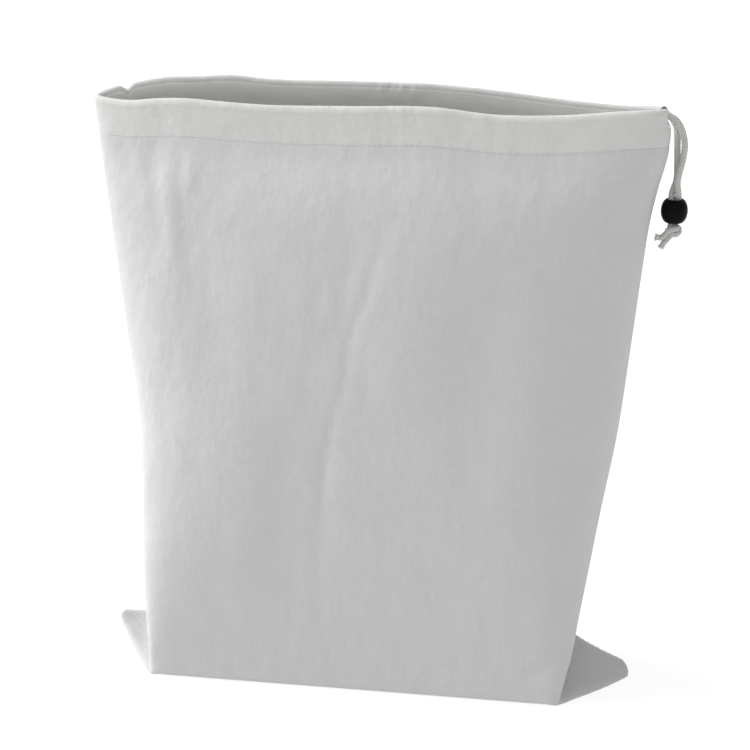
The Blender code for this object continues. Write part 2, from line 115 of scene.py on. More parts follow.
Level = namedtuple("Level", "height left right straight_l straight_r blunt_l blunt_r skew_f skew_b")
LEVELS = (
    Level(0.00, 0.00, 0.00, 40.0, 40.0, 26.0, 26.0, 0.00, 0.00),
    Level(0.08, 0.05, 0.12, 20.0, 18.0, 12.0, 11.0, 0.00, 0.00),
    Level(0.20, 0.09, 0.27, 10.0, 8.5, 5.5, 4.8, 0.00, 0.00),
    Level(0.32, 0.13, 0.41, 6.5, 5.5, 3.4, 3.4, 0.02, 0.00),
    Level(0.45, 0.19, 0.57, 4.8, 4.2, 2.6, 2.8, 0.04, -0.02),
    Level(0.60, 0.35, 0.69, 3.8, 3.4, 2.3, 2.4, 0.06, -0.04),
    Level(0.75, 0.50, 0.80, 3.0, 2.6, 2.0, 2.4, 0.10, -0.06),
    Level(0.87, 0.60, 0.90, 2.6, 2.2, 1.9, 3.0, 0.14, -0.10),
    Level(0.93, 0.65, 0.98, 2.5, 2.0, 1.9, 4.4, 0.16, -0.11),
    Level(1.00, 0.70, 0.99, 2.5, 1.9, 1.9, 4.8, 0.18, -0.12),
)


def facing_of(wall):
    return -1.0 if wall == "front" else 1.0


def level_line(up, wall):
    """Plan of one wall at a level, from the left seam to the right seam."""
    def read(name):
        return float(smooth_read(LEVELS, "height", name, np.array([up]))[0])

    left = BASE_X - HALF_BASE - read("left") * EAR
    right = BASE_X + HALF_BASE + read("right") * EAR
    turn = np.linspace(0.0, math.pi, LINE_POINTS)
    on_left = turn < math.pi / 2
    straight = np.where(on_left, read("straight_l"), read("straight_r"))
    blunt = np.where(on_left, read("blunt_l"), read("blunt_r"))
    across = -np.sign(np.cos(turn)) * np.abs(np.cos(turn)) ** (2 / straight)
    bow = np.sin(turn).clip(0.0) ** (2 / blunt)
    bow[[0, -1]] = 0.0
    across = across + read("skew_f" if wall == "front" else "skew_b") * bow * (1 - across**2)
    x = (left + right) / 2 + across * (right - left) / 2
    shallow, deep = 0.0, FLAT_WIDTH
    for _ in range(40):
        depth = (shallow + deep) / 2
        if np.hypot(np.diff(x), np.diff(bow * depth)).sum() < FLAT_WIDTH:
            shallow = depth
        else:
            deep = depth
    return np.stack([x, facing_of(wall) * bow * depth], axis=1)


for up in (0.0, 0.5, 1.0):
    line = level_line(up, "front")
    print(f"level {up}: {np.ptp(line[:, 0]) * 1000:.0f} mm wide, {-line[:, 1].min() * 2000:.0f} mm deep")

# %% [markdown]
# ## Rim and soft folds
# The rim is not level: the cord has drawn it into slow waves, with a nick near the left end of the
# back. Thin cotton also keeps the marks of having lain folded. Each fold is one row: how wide and how
# deep it is, and the places on the flat cloth that its line runs through. Simulated cloth would give
# folds too, but not these ones in these places.

# %% Tables of the rim and the folds
Rim = namedtuple("Rim", "across front back")
RIM = (
    Rim(0.00, -0.03, -0.03),
    Rim(0.04, -0.08, 0.15),
    Rim(0.08, -0.09, 0.27),
    Rim(0.13, 0.00, 0.39),
    Rim(0.18, 0.04, 0.41),
    Rim(0.24, 0.00, 0.46),
    Rim(0.30, -0.04, 0.38),
    Rim(0.45, -0.01, 0.37),
    Rim(0.60, 0.03, 0.34),
    Rim(0.70, -0.12, 0.22),
    Rim(0.80, -0.10, 0.06),
    Rim(0.92, 0.04, -0.04),
    Rim(1.00, 0.05, 0.05),
)
Fold = namedtuple("Fold", "width depth line")   # depth is into the bag, line holds (share, level)
FRONT_FOLDS = (
    Fold(0.0034, 0.00062, ((0.536, 0.83), (0.52, 0.76), (0.505, 0.7), (0.48, 0.65),
                           (0.469, 0.56), (0.448, 0.5), (0.436, 0.43), (0.436, 0.3))),
    Fold(0.006, 0.0005, ((0.436, 0.5), (0.435, 0.32), (0.441, 0.1))),
    Fold(0.004, 0.00045, ((0.487, 0.78), (0.47, 0.71), (0.462, 0.64))),
    Fold(0.004, 0.0004, ((0.432, 0.74), (0.418, 0.67))),
    Fold(0.03, -0.0026, ((0.6, 0.84), (0.575, 0.66), (0.56, 0.5))),
    Fold(0.022, 0.0016, ((0.7, 0.72), (0.69, 0.4))),
    Fold(0.024, 0.0015, ((0.395, 0.56), (0.385, 0.12))),
    Fold(0.02, -0.0012, ((0.29, 0.52), (0.3, 0.14))),
    Fold(0.017, 0.0014, ((0.225, 0.86), (0.235, 0.52))),
    Fold(0.006, -0.0009, ((0.148, 0.925), (0.16, 0.83), (0.172, 0.7))),
    Fold(0.005, -0.0007, ((0.193, 0.925), (0.196, 0.84))),
    Fold(0.0055, 0.0009, ((0.118, 0.935), (0.126, 0.86))),
    Fold(0.011, -0.0014, ((0.092, 0.52), (0.098, 0.28), (0.095, 0.05))),
    Fold(0.018, 0.0013, ((0.85, 0.7), (0.835, 0.36))),
    Fold(0.006, 0.0009, ((0.88, 0.15), (0.845, 0.075), (0.8, 0.04))),
    Fold(0.005, -0.0007, ((0.915, 0.12), (0.88, 0.05))),
    Fold(0.0045, 0.0005, ((0.64, 0.33), (0.7, 0.3), (0.76, 0.31))),
    Fold(0.0013, 0.00026, ((0.524, 1.0), (0.532, 0.972))),
    Fold(0.0012, 0.00024, ((0.565, 1.0), (0.574, 0.974))),
    Fold(0.0024, -0.00022, ((0.544, 1.0), (0.552, 0.965))),
    Fold(0.0013, -0.00018, ((0.52, 0.962), (0.52, 0.915))),
    Fold(0.0028, 0.00055, ((0.61, 0.985), (0.645, 0.99), (0.68, 0.984))),
    Fold(0.003, -0.0004, ((0.19, 0.985), (0.24, 0.965), (0.27, 0.97))),
    Fold(0.003, 0.00045, ((0.125, 0.98), (0.155, 0.962))),
)
BACK_FOLDS = (
    Fold(0.0014, 0.0003, ((0.5, 1.0), (0.49, 0.965))),
    Fold(0.0014, -0.0003, ((0.515, 1.0), (0.508, 0.968))),
    Fold(0.0013, 0.00028, ((0.536, 1.0), (0.526, 0.965))),
    Fold(0.0013, 0.00026, ((0.556, 1.0), (0.548, 0.97))),
    Fold(0.026, -0.002, ((0.45, 0.68), (0.52, 0.3))),
    Fold(0.02, 0.0018, ((0.28, 0.82), (0.35, 0.42))),
    Fold(0.005, 0.0008, ((0.62, 0.78), (0.66, 0.6), (0.65, 0.44))),
    Fold(0.018, 0.0014, ((0.76, 0.62), (0.74, 0.22))),
    Fold(0.005, -0.0006, ((0.18, 0.6), (0.21, 0.44))),
)
FOLDS = {"front": FRONT_FOLDS, "back": BACK_FOLDS}


def fold_push(wall, shares, up):
    """How far the folds press a wall in, at places on the flat cloth."""
    push = np.zeros(len(shares))
    place = np.stack([shares * FLAT_WIDTH, np.full(len(shares), up * STAND_HEIGHT)], axis=1)
    for fold in FOLDS[wall]:
        line = np.array(fold.line) * (FLAT_WIDTH, STAND_HEIGHT)
        parts = np.diff(line, axis=0)
        lengths = np.hypot(*parts.T)
        starts = np.concatenate([[0.0], np.cumsum(lengths)])
        nearest = np.full(len(shares), np.inf)
        passed = np.zeros(len(shares))
        for begin, part, length, start in zip(line, parts, lengths, starts):
            share = ((place - begin) @ part / length**2).clip(0.0, 1.0)
            away = np.hypot(*(place - begin - share[:, None] * part).T)
            passed = np.where(away < nearest, start + share * length, passed)
            nearest = np.minimum(away, nearest)
        to_end = np.minimum(passed, starts[-1] - passed) / starts[-1]
        fade = 0.15 + 0.85 * np.sin((to_end / 0.3).clip(0.0, 1.0) * math.pi / 2)
        push += fold.depth * fade * np.exp(-(nearest / fold.width) ** 2)
    return push


def plan_at(up, wall, shares):
    """Places on a wall's plan at shares of the cloth's width, and the directions out of the bag."""
    line = level_line(up, wall)
    run = np.concatenate([[0.0], np.cumsum(np.hypot(*np.diff(line, axis=0).T))])
    run = run / run[-1]
    here, before, after = (
        np.stack([np.interp(shares + shift, run, line[:, i]) for i in (0, 1)], axis=1)
        for shift in (0.0, -0.003, 0.003)
    )
    along = (after - before) / np.linalg.norm(after - before, axis=1)[:, None]
    facing = facing_of(wall)
    outward = np.stack([-facing * along[:, 1], facing * along[:, 0]], axis=1)
    outward[shares <= 1e-6] = (-1.0, 0.0)
    outward[shares >= 1 - 1e-6] = (1.0, 0.0)
    return here, outward


print(sum(map(len, FOLDS.values())), "folds,", len(RIM), "places along the rim")

# %% [markdown]
# ## Fabric that shows its weave
# The cotton is a plain weave: each thread goes over one and under the next. A picture of cloth could
# be laid on it. Nodes are used instead, because they stay sharp at any distance: two sines make the
# threads, a checker decides which one lies on top, and stretched noise makes some threads thicker
# than others. All of it reads the cloth's own flat coordinates, so that it follows every fold.
# Thin cotton lets some light through from behind. Its shaded inner side is given a much lighter cotton,
# which is painted light that stands in for it.

# %% Node helpers
def new_material(name, roughness, sheen=0.0):
    made = bpy.data.materials.new(name)
    made.use_nodes = True
    shader = made.node_tree.nodes["Principled BSDF"]
    shader.inputs["Roughness"].default_value = roughness
    shader.inputs["Sheen Weight"].default_value = sheen
    shader.inputs["Sheen Roughness"].default_value = 0.6
    shader.inputs["Specular IOR Level"].default_value = 0.25
    return made, shader


def add_node(tree, kind, **inputs):
    """Adds a node and sets or links its inputs, by name, or by number as in0."""
    node = tree.nodes.new(kind)
    for name, value in inputs.items():
        socket = node.inputs[int(name[2:]) if name.startswith("in") else name]
        if isinstance(value, bpy.types.NodeSocket):
            tree.links.new(value, socket)
        else:
            socket.default_value = value
    return node


def calculate(tree, operation, a, b=0.0, c=0.0):
    node = add_node(tree, "ShaderNodeMath", in0=a, in1=b, in2=c)
    node.operation = operation
    return node.outputs[0]


def mix_values(tree, share, a, b):
    node = add_node(tree, "ShaderNodeMix", in0=share, in2=a, in3=b)
    return node.outputs[0]


def mix_colours(tree, share, a, b):
    node = add_node(tree, "ShaderNodeMix", in0=share, in6=a, in7=b)
    node.data_type = "RGBA"
    return node.outputs[2]


def tint(colour, share):
    return (*[channel * share for channel in colour], 1.0)


def stretched_noise(tree, vector, scale, detail=2.0):
    """Noise whose scale differs along each axis of a vector."""
    moved = add_node(tree, "ShaderNodeMapping", Vector=vector, Scale=scale)
    noise = add_node(tree, "ShaderNodeTexNoise", Vector=moved.outputs[0], Scale=1.0, Detail=detail)
    return noise.outputs[0]


# %% The cotton
THREAD = 0.00052          # distance between threads


def cotton(name, colour):
    """Plain-woven cotton that reads the cloth's flat coordinates in metres."""
    made, shader = new_material(name, 0.92, sheen=0.12)
    tree = made.node_tree
    flat = tree.nodes.new("ShaderNodeUVMap")
    flat.uv_map = "cloth"
    flat = flat.outputs[0]
    place = tree.nodes.new("ShaderNodeTexCoord").outputs["Object"]
    wander = stretched_noise(tree, flat, (90.0, 90.0, 1.0))
    split = add_node(tree, "ShaderNodeSeparateXYZ", Vector=flat)
    threads = []
    for side in (0, 1):
        count = calculate(tree, "MULTIPLY", split.outputs[side], 1 / THREAD)
        threads.append(calculate(tree, "MULTIPLY_ADD", wander, 1.6, count))
    rounds = [calculate(tree, "ABSOLUTE", calculate(tree, "SINE", calculate(tree, "MULTIPLY", t, math.pi)))
              for t in threads]
    cells = [calculate(tree, "FLOOR", t) for t in threads]
    over = calculate(tree, "MODULO", calculate(tree, "ABSOLUTE", calculate(tree, "ADD", *cells)), 2.0)
    lifted = []
    for i in (0, 1):
        rise = calculate(tree, "MULTIPLY_ADD", rounds[1 - i], 0.4, 0.6)
        lifted.append(calculate(tree, "MULTIPLY", rounds[i], rise))
    weave = mix_values(tree, over, lifted[0], lifted[1])
    warp = stretched_noise(tree, flat, (1900.0, 90.0, 1.0), 1.0)
    weft = stretched_noise(tree, flat, (80.0, 1900.0, 1.0), 1.0)
    slubs = calculate(tree, "ADD", warp, weft)
    crumple = stretched_noise(tree, place, (42.0, 42.0, 30.0), 4.0)

    worn = stretched_noise(tree, place, (24.0, 24.0, 20.0), 5.0)
    base = mix_colours(tree, worn, tint(colour, 0.93), tint(colour, 1.0))
    thicker = calculate(tree, "MULTIPLY_ADD", slubs, 1.6, -1.1)
    threaded = mix_colours(tree, thicker, base, tint(colour, 1.025))
    # Painted shade: the gaps between threads are darkened towards a deeper tone of the cotton.
    deep = calculate(tree, "MULTIPLY_ADD", weave, -0.22, 0.22)
    final = mix_colours(tree, deep, threaded, tint(colour, 0.55))
    tree.links.new(final, shader.inputs["Base Color"])

    soft = add_node(tree, "ShaderNodeBump", Strength=0.8, Distance=0.0032, Height=crumple)
    thick = add_node(tree, "ShaderNodeBump", Strength=0.25, Distance=0.00007, Height=slubs,
                     Normal=soft.outputs[0])
    woven = add_node(tree, "ShaderNodeBump", Strength=0.55, Distance=0.00009, Height=weave,
                     Normal=thick.outputs[0])
    tree.links.new(woven.outputs[0], shader.inputs["Normal"])
    return made


body_cotton = cotton("white_cotton", (0.525, 0.525, 0.520))
band_cotton = cotton("white_cotton_band", (0.570, 0.567, 0.558))
# Painted light: the inner face, which lies in shade, gets this much lighter cotton.
inside_cotton_painted_light = cotton("white_cotton_inside_painted_light", (0.880, 0.874, 0.850))
thread_white, thread_shader = new_material("sewing_thread", 0.75, sheen=0.1)
tree = thread_white.node_tree
place = tree.nodes.new("ShaderNodeTexCoord").outputs["Object"]
fine = stretched_noise(tree, place, (2500.0, 2500.0, 2500.0))
tree.links.new(mix_colours(tree, fine, (0.50, 0.50, 0.49, 1.0), (0.62, 0.62, 0.60, 1.0)),
               thread_shader.inputs["Base Color"])
print("threads per centimetre:", round(0.01 / THREAD, 1))

# %% [markdown]
# ## Braided cord
# The drawcord is braided from twelve yarns, six running each way round. Twelve thin tubes would give
# the braid, but they cut through each other. Here a flat grid is rolled into one tube, and its
# surface is raised and lowered by the pattern of yarns passing over and under, so that it stays a
# single clean skin. The hollows between yarns are also stored as an attribute, for painted shade.

# %% The braid's relief
CORD = 0.0036
YARNS = 6
YARN_LEAD = 0.0021        # along the cord, from one yarn to the next
YARN_HIGH = 0.00042


def braid_relief(round_share, along):
    """Height of the braid, 0 in the hollows to 1 on a yarn, at a share of a turn and a length."""
    one = round_share * YARNS + along / YARN_LEAD
    other = round_share * YARNS - along / YARN_LEAD
    heights = []
    for a, b, sign in ((one, other, 1.0), (other, one, -1.0)):
        yarn = np.cos(math.pi * (a - np.floor(a) - 0.5))
        lift = sign * np.where(np.floor(a) % 2 == 0, 1.0, -1.0) * np.cos(math.pi * (b - 0.5))
        heights.append(yarn * (0.72 + 0.28 * lift))
    return np.maximum(*heights)


def smooth_route(points, spacing):
    """Evenly spaced points on one smooth curve through a route's own points."""
    points = [Vector(point) for point in points]
    ends = [2 * points[0] - points[1], *points, 2 * points[-1] - points[-2]]
    dense = []
    for a, b, c, d in zip(ends, ends[1:], ends[2:], ends[3:]):
        for i in range(16):
            t = i / 16
            curve = 2 * b + (c - a) * t + (2 * a - 5 * b + 4 * c - d) * t**2
            dense.append((curve + (3 * b - a - 3 * c + d) * t**3) / 2)
    dense.append(points[-1])
    run = np.concatenate([[0.0], np.cumsum([(b - a).length for a, b in zip(dense, dense[1:])])])
    places = np.linspace(0.0, run[-1], max(3, round(run[-1] / spacing) + 1))
    return np.stack([np.interp(places, run, [point[i] for point in dense]) for i in range(3)], axis=1)


def frames_along(path):
    """Two directions across a path at each point, turned as little as possible from one to the next."""
    forward = np.gradient(path, axis=0)
    forward = forward / np.linalg.norm(forward, axis=1)[:, None]
    across = np.cross(forward[0], (0.0, 1.0, 0.0) if abs(forward[0][1]) < 0.9 else (1.0, 0.0, 0.0))
    sides = []
    for way in forward:
        across = across - way * np.dot(across, way)
        across = across / np.linalg.norm(across)
        sides.append(across)
    sides = np.array(sides)
    return sides, np.cross(forward, sides)


def add_piece(name, bm, *looks):
    """Turns a bmesh into an object of the scene that rides on the frame."""
    mesh = bpy.data.meshes.new(name)
    bm.to_mesh(mesh)
    bm.free()
    mesh.polygons.foreach_set("use_smooth", [True] * len(mesh.polygons))
    for look in looks:
        mesh.materials.append(look)
    made = bpy.data.objects.new(name, mesh)
    scene.collection.objects.link(made)
    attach(made, "root")
    return made


def braided_tube(bm, path, radius, spacing=0.00034, around=36, closed=False):
    """Rolls a grid into a braided tube along a path of evenly spaced points."""
    step = np.linalg.norm(np.diff(path, axis=0), axis=1)
    run = np.concatenate([[0.0], np.cumsum(step)])
    count = max(4, round(run[-1] / spacing))
    places = np.linspace(0.0, run[-1], count + 1)
    line = np.stack([np.interp(places, run, path[:, i]) for i in range(3)], axis=1)
    across, up = frames_along(line)
    hollow_shade = bm.verts.layers.float.new("hollow_shade")
    verts = bmesh.ops.create_grid(bm, x_segments=around, y_segments=count, size=0.5)["verts"]
    flat = np.array([(vert.co.x + 0.5, vert.co.y + 0.5) for vert in verts])
    row = np.rint(flat[:, 1] * count).astype(int)
    height = braid_relief(flat[:, 0], places[row])
    reach = radius - YARN_HIGH * (1 - height)
    angle = flat[:, 0] * 2 * math.pi
    sideways = (np.cos(angle) * reach)[:, None]
    upwards = (np.sin(angle) * reach)[:, None]
    spots = line[row] + across[row] * sideways + up[row] * upwards
    for vert, spot, high in zip(verts, spots, height):
        vert.co = spot
        vert[hollow_shade] = 1.0 - high
    bmesh.ops.remove_doubles(bm, verts=verts, dist=1e-6)
    if closed:
        return
    open_edges = [edge for edge in bm.edges if edge.is_boundary]
    bmesh.ops.holes_fill(bm, edges=open_edges, sides=0)


def cord_look(name, colour):
    """Cotton yarn, with painted shade down between the yarns."""
    made, shader = new_material(name, 0.85, sheen=0.15)
    tree = made.node_tree
    hollow_shade = tree.nodes.new("ShaderNodeAttribute")
    hollow_shade.attribute_name = "hollow_shade"
    place = tree.nodes.new("ShaderNodeTexCoord").outputs["Object"]
    fibre = stretched_noise(tree, place, (2600.0, 2600.0, 1400.0), 3.0)
    blotch = stretched_noise(tree, place, (120.0, 120.0, 120.0))
    light = mix_colours(tree, fibre, tint(colour, 0.86), tint(colour, 1.1))
    aged = mix_colours(tree, blotch, light, tint(colour, 0.93))
    # Painted shade: the deeper the hollow between yarns, the darker the cord there.
    depth = calculate(tree, "POWER", hollow_shade.outputs["Fac"], 0.9)
    final = mix_colours(tree, calculate(tree, "MULTIPLY", depth, 0.95), aged, tint(colour, 0.18))
    tree.links.new(final, shader.inputs["Base Color"])
    bump = add_node(tree, "ShaderNodeBump", Strength=0.5, Distance=0.00012, Height=fibre)
    tree.links.new(bump.outputs[0], shader.inputs["Normal"])
    return made


cord_cotton = cord_look("cotton_cord", (0.66, 0.655, 0.63))
print("yarns:", 2 * YARNS, "- one repeat of the braid:", round(2 * YARN_LEAD * 1000, 1), "mm")

# %% [markdown]
# ## The free ends of the cord
# Both ends come out of the hem at the right seam and hang down side by side through one bead to a
# knot. A simulated rope would hang straight. The photographed cord doesn't, so its routes are listed
# point by point: they are the part's own, counted from the rim at that seam. The right-hand strand bows
# outwards, because the cord is springy where it has just left its channel.

# %% Two strands
CORNER = Vector((0.17003, 0.0, 0.3605))
ROUTES = {
    "strand_front": (
        (-0.00289, -0.00727, -0.00255), (-0.00112, -0.00548, -0.00255), (0.0022, -0.0041, -0.0036),
        (0.0054, -0.0032, -0.0056), (0.0083, -0.0026, -0.0096), (0.0103, -0.0022, -0.0150),
        (0.0112, -0.0020, -0.0205), (0.0108, -0.0020, -0.0270), (0.0097, -0.0020, -0.0330),
        (0.0085, -0.0020, -0.0390), (0.0082, -0.0019, -0.0430), (0.0089, -0.0017, -0.0475),
        (0.00915, -0.00065, -0.0505), (0.00915, 0.0, -0.0540), (0.00915, 0.0, -0.0600),
        (0.00915, 0.0, -0.0664),
    ),
    "strand_back": (
        (-0.00292, 0.00706, -0.00315), (-0.00096, 0.00550, -0.00287), (0.0014, 0.0039, -0.0042),
        (0.0039, 0.0030, -0.0068), (0.0059, 0.0023, -0.0108), (0.0068, 0.0020, -0.0165),
        (0.0072, 0.0020, -0.0240), (0.0075, 0.0020, -0.0320), (0.0077, 0.0020, -0.0385),
        (0.0072, 0.0020, -0.0430), (0.0057, 0.0017, -0.0475), (0.00525, 0.00065, -0.0505),
        (0.00525, 0.0, -0.0540), (0.00525, 0.0, -0.0600), (0.00525, 0.0, -0.0664),
    ),
}


def from_corner(points):
    return [CORNER + Vector(point) for point in points]


for name, route in ROUTES.items():
    path = smooth_route(from_corner(route), 0.0006)
    bm = bmesh.new()
    braided_tube(bm, path, CORD / 2 + 0.00015)
    add_piece("braided_" + name, bm, cord_cotton)
    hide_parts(name)
    print(name, "is", round(np.linalg.norm(np.diff(path, axis=0), axis=1).sum() * 1000, 1), "mm long")

# %% [markdown]
# ## Bead
# A turned bead with flattened ends keeps the two strands together. It could be a squashed sphere with
# a hole cut through it. Here its section on one side, hole and lips included, is drawn as a closed
# line and spun once round the upright axis, which is how such a bead is turned.

# %% Spin the bead
BEAD_WIDTH = 0.0156
BEAD_HEIGHT = 0.014
BEAD_HOLE = 0.00405
BEAD_LIP = 0.0004
BEAD_CENTRE = CORNER + Vector((0.0072, 0.0, -0.0590))

bm = bmesh.new()
half = BEAD_HEIGHT / 2
flat_end = BEAD_HOLE + BEAD_LIP
outline = [(BEAD_HOLE, 0.0), (BEAD_HOLE, half - BEAD_LIP),
           (BEAD_HOLE + 0.3 * BEAD_LIP, half - 0.25 * BEAD_LIP)]
for i in range(21):
    lap = math.pi * (i + 0.6) / 21.2
    outline.append((flat_end + (BEAD_WIDTH / 2 - flat_end) * math.sin(lap) ** 1.2, half * math.cos(lap)))
outline += [(x, -z) for x, z in outline[2:0:-1]]
points = [bm.verts.new((x, 0.0, z)) for x, z in outline]
rim_edges = [bm.edges.new(pair) for pair in zip(points, points[1:] + points[:1])]
bmesh.ops.spin(bm, geom=points + rim_edges, cent=(0.0, 0.0, 0.0), axis=(0.0, 0.0, 1.0),
               angle=2 * math.pi, steps=72, use_merge=True)
bmesh.ops.remove_doubles(bm, verts=bm.verts, dist=1e-7)
bmesh.ops.recalc_face_normals(bm, faces=bm.faces)
bmesh.ops.translate(bm, vec=BEAD_CENTRE, verts=bm.verts)

bead_black, bead_shader = new_material("black_bead", 0.42)
bead_shader.inputs["Specular IOR Level"].default_value = 0.05
tree = bead_black.node_tree
place = tree.nodes.new("ShaderNodeTexCoord").outputs["Object"]
cloudy = stretched_noise(tree, place, (260.0, 260.0, 260.0), 4.0)
turned = stretched_noise(tree, place, (60.0, 60.0, 2200.0))
tree.links.new(mix_colours(tree, cloudy, (0.0018, 0.0018, 0.0020, 1.0), (0.0048, 0.0048, 0.0050, 1.0)),
               bead_shader.inputs["Base Color"])
tree.links.new(calculate(tree, "MULTIPLY_ADD", cloudy, 0.2, 0.32), bead_shader.inputs["Roughness"])
rough = add_node(tree, "ShaderNodeBump", Strength=0.12, Distance=0.0001, Height=cloudy)
lathe = add_node(tree, "ShaderNodeBump", Strength=0.06, Distance=0.00005, Height=turned,
                 Normal=rough.outputs[0])
tree.links.new(lathe.outputs[0], bead_shader.inputs["Normal"])

bead = add_piece("turned_bead", bm, bead_black)
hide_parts("bead")
print("bead:", [round(x * 1000, 1) for x in bead.dimensions], "mm")

# %% [markdown]
# ## Knot and frayed tails
# Under the bead the two strands are tied in one overhand knot. Its line is a trefoil, the knot that
# an overhand knot makes when its ends are joined, pulled small. Below it two cut tails point away
# to the left, and their yarns have come loose at the ends.

# %% Tie the knot
KNOT_CENTRE = CORNER + Vector((0.0072, 0.0, -0.0704))
KNOT_CORD = 0.0019        # radius of the cord, which bulges where it is tied
KNOT_SCALE = 0.00112
KNOT_LEAN = 24            # degrees that its top leans to the right

lap = np.linspace(0.0, 2 * math.pi, 241)
swell = 2 + np.cos(3 * lap)
trefoil = np.stack([swell * np.cos(2 * lap), swell * np.sin(2 * lap) * 0.86, 1.9 * np.sin(3 * lap)],
                   axis=1) * KNOT_SCALE
lean = math.radians(KNOT_LEAN)
knot_path = np.stack([
    trefoil[:, 0] * math.cos(lean) + trefoil[:, 2] * math.sin(lean),
    trefoil[:, 1],
    (-trefoil[:, 0] * math.sin(lean) + trefoil[:, 2] * math.cos(lean)) * 0.92,
], axis=1) + np.array(KNOT_CENTRE)
bm = bmesh.new()
braided_tube(bm, knot_path, KNOT_CORD, closed=True, spacing=0.0003, around=32)
bmesh.ops.remove_doubles(bm, verts=bm.verts, dist=6e-5)
knot = add_piece("overhand_knot", bm, cord_cotton)
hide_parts("knot")
print("knot:", [round(x * 1000, 1) for x in knot.dimensions], "mm")

# %% Cut and fray the tails
TAILS = {
    "tail_upper": ((0.0055, -0.0006, -0.0712), (0.0037, -0.0008, -0.0722), (0.0017, -0.0012, -0.0742),
                   (0.0001, -0.0014, -0.0751), (-0.0022, -0.0015, -0.0748)),
    "tail_lower": ((0.0068, 0.0006, -0.0730), (0.0054, 0.0008, -0.0746), (0.0038, 0.0009, -0.0766),
                   (0.0021, 0.0007, -0.0786), (0.0008, 0.0006, -0.0812)),
}
FRAYED = 46
FRAY_LONG = 0.0024
FRAY_FOOT = 0.00030       # radius of a loose yarn where it leaves the tail
FRAY_TIP = 0.00014

for number, (name, route) in enumerate(TAILS.items()):
    path = smooth_route(from_corner(route), 0.0005)
    bm = bmesh.new()
    braided_tube(bm, path, CORD / 2)
    tail = add_piece("braided_" + name, bm, cord_cotton)
    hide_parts(name)
    out = Vector(path[-1] - path[-3]).normalized()
    aside = out.orthogonal().normalized()
    chance = np.random.default_rng(7 + number)
    bm = bmesh.new()
    for _ in range(FRAYED):
        lap, share = chance.uniform(0, 2 * math.pi), chance.uniform(0.15, 0.95)
        radial = (aside * math.cos(lap) + out.cross(aside) * math.sin(lap)) * share
        start = Vector(path[-1]) + radial * CORD * 0.42 - out * 0.0009
        way = (out + radial * chance.uniform(0.2, 1.3)).normalized()
        long = FRAY_LONG * chance.uniform(0.55, 1.0)
        made = bmesh.ops.create_cone(bm, cap_ends=True, segments=5, radius1=FRAY_FOOT,
                                     radius2=FRAY_TIP, depth=long)
        turn_to = way.to_track_quat("Z", "Y").to_matrix()
        bmesh.ops.rotate(bm, verts=made["verts"], matrix=turn_to)
        bmesh.ops.translate(bm, verts=made["verts"], vec=start + way * long / 2)
    frayed = add_piece("frayed_" + name, bm, cord_cotton)

print("two strands, a bead, a knot and", len(TAILS), "tails with", FRAYED, "loose yarns each")

# %% [markdown]
# ## Sewing line
# A line of stitches draws the cloth in a little and leaves small puckers on both sides of it. Bump
# could only shade them. They are true shapes here, from one function that cloth and hem share, so
# that both move together along the line.

# %% Puckers beside the stitches
PUCKER = 0.00030
PUCKER_WIDE = 0.0019
PUCKER_REACH = 0.0062     # how far the puckers run up and down from the stitches
GROOVE = 0.00026
GROOVE_WIDE = 0.0011
BACK_PUCKERS = 0.35       # the back takes its puckers from this far along their list
chance = np.random.default_rng(3)
PUCKER_PLACES = np.cumsum(chance.uniform(0.0042, 0.0095, 160))
PUCKER_SIZES = chance.uniform(-0.6, 1.0, 160)
GATHER_PLACES = {"front": (0.530, 0.620, 0.690), "back": (0.500, 0.550)}


def stitch_pull(wall, shares, over_stitch):
    """How far out the cloth stands near its stitch line, with its puckers and groove."""
    place = shares * FLAT_WIDTH + (0.0 if wall == "front" else BACK_PUCKERS)
    ripple = np.zeros(len(shares))
    for centre, size in zip(PUCKER_PLACES, PUCKER_SIZES):
        ripple += size * np.exp(-((place - centre) / PUCKER_WIDE) ** 2)
    strength = 0.50 + 0.6 * sum(np.exp(-((shares - at) / 0.05) ** 2) for at in GATHER_PLACES[wall])
    return (PUCKER * ripple * strength * np.exp(-(over_stitch / PUCKER_REACH) ** 2)
            - GROOVE * np.exp(-(over_stitch / GROOVE_WIDE) ** 2))


# %% [markdown]
# ## The bag's cloth
# Each cloth starts as a flat grid, cut along the diagonals of its lower corners where it will fold.
# Then every point of the flat cloth is carried to its place: up the wall, round the fold at the floor,
# under the base, or out along an ear and back beneath it. Cloth that is laid this way keeps its
# length, and its flat coordinates stay on it as the UV map that the weave reads. A simulation would
# drape it too, but in a way of its own.
# An ear is one row, in shares of its length: how far it reaches, swings back and lifts its tip, how
# high it stands at the wall and at its back edge, where its tip is cut short, and how it slants.

# %% Ears and the fold at the floor
BACK_FLAT = 0.5           # where the back cloth starts in the flat coordinates
Ear = namedtuple("Ear", "reach swing lift tent roll cut_from cut_to slant")
LEFT_EAR = Ear(0.78, 0.12, 0.36, 0.20, 0.07, 0.80, 0.894, 0.00)
RIGHT_EAR = Ear(1.06, 0.14, 0.03, 0.16, 0.13, 0.76, 0.800, 0.25)
EAR_THICK = 0.0020        # two layers and the air between them
EAR_EDGE = 0.0060         # width of the rounded edge
SEAM_GROOVE = 0.0003
FLOOR_TURN = 0.0028       # radius of the fold where a wall turns under
CORNER_BULGE = 0.0030     # how far the strands drag the hem's corner out
BULGE_FROM = 0.78         # level where that starts
BULGE_RISE = 0.17
BULGE_WIDE = 0.011
RIM_NICK = 0.0030         # depth of the nick in the back's rim
NICK_AT = 0.060
NICK_WIDE = 0.008
BESIDE_EAR = 0.008        # length over which the fold at the floor begins beside an ear


def ear_top(ear, lateral, reach, roll):
    low = EAR_THICK + roll * lateral.clip(0.0) ** 1.3 * EAR
    return low + (ear.tent * EAR - low) * (1 - lateral) * (1 - reach) ** 2


def round_edge(distance):
    return np.sqrt(1 - (1 - (distance / EAR_EDGE).clip(0.0, 1.0)) ** 2)


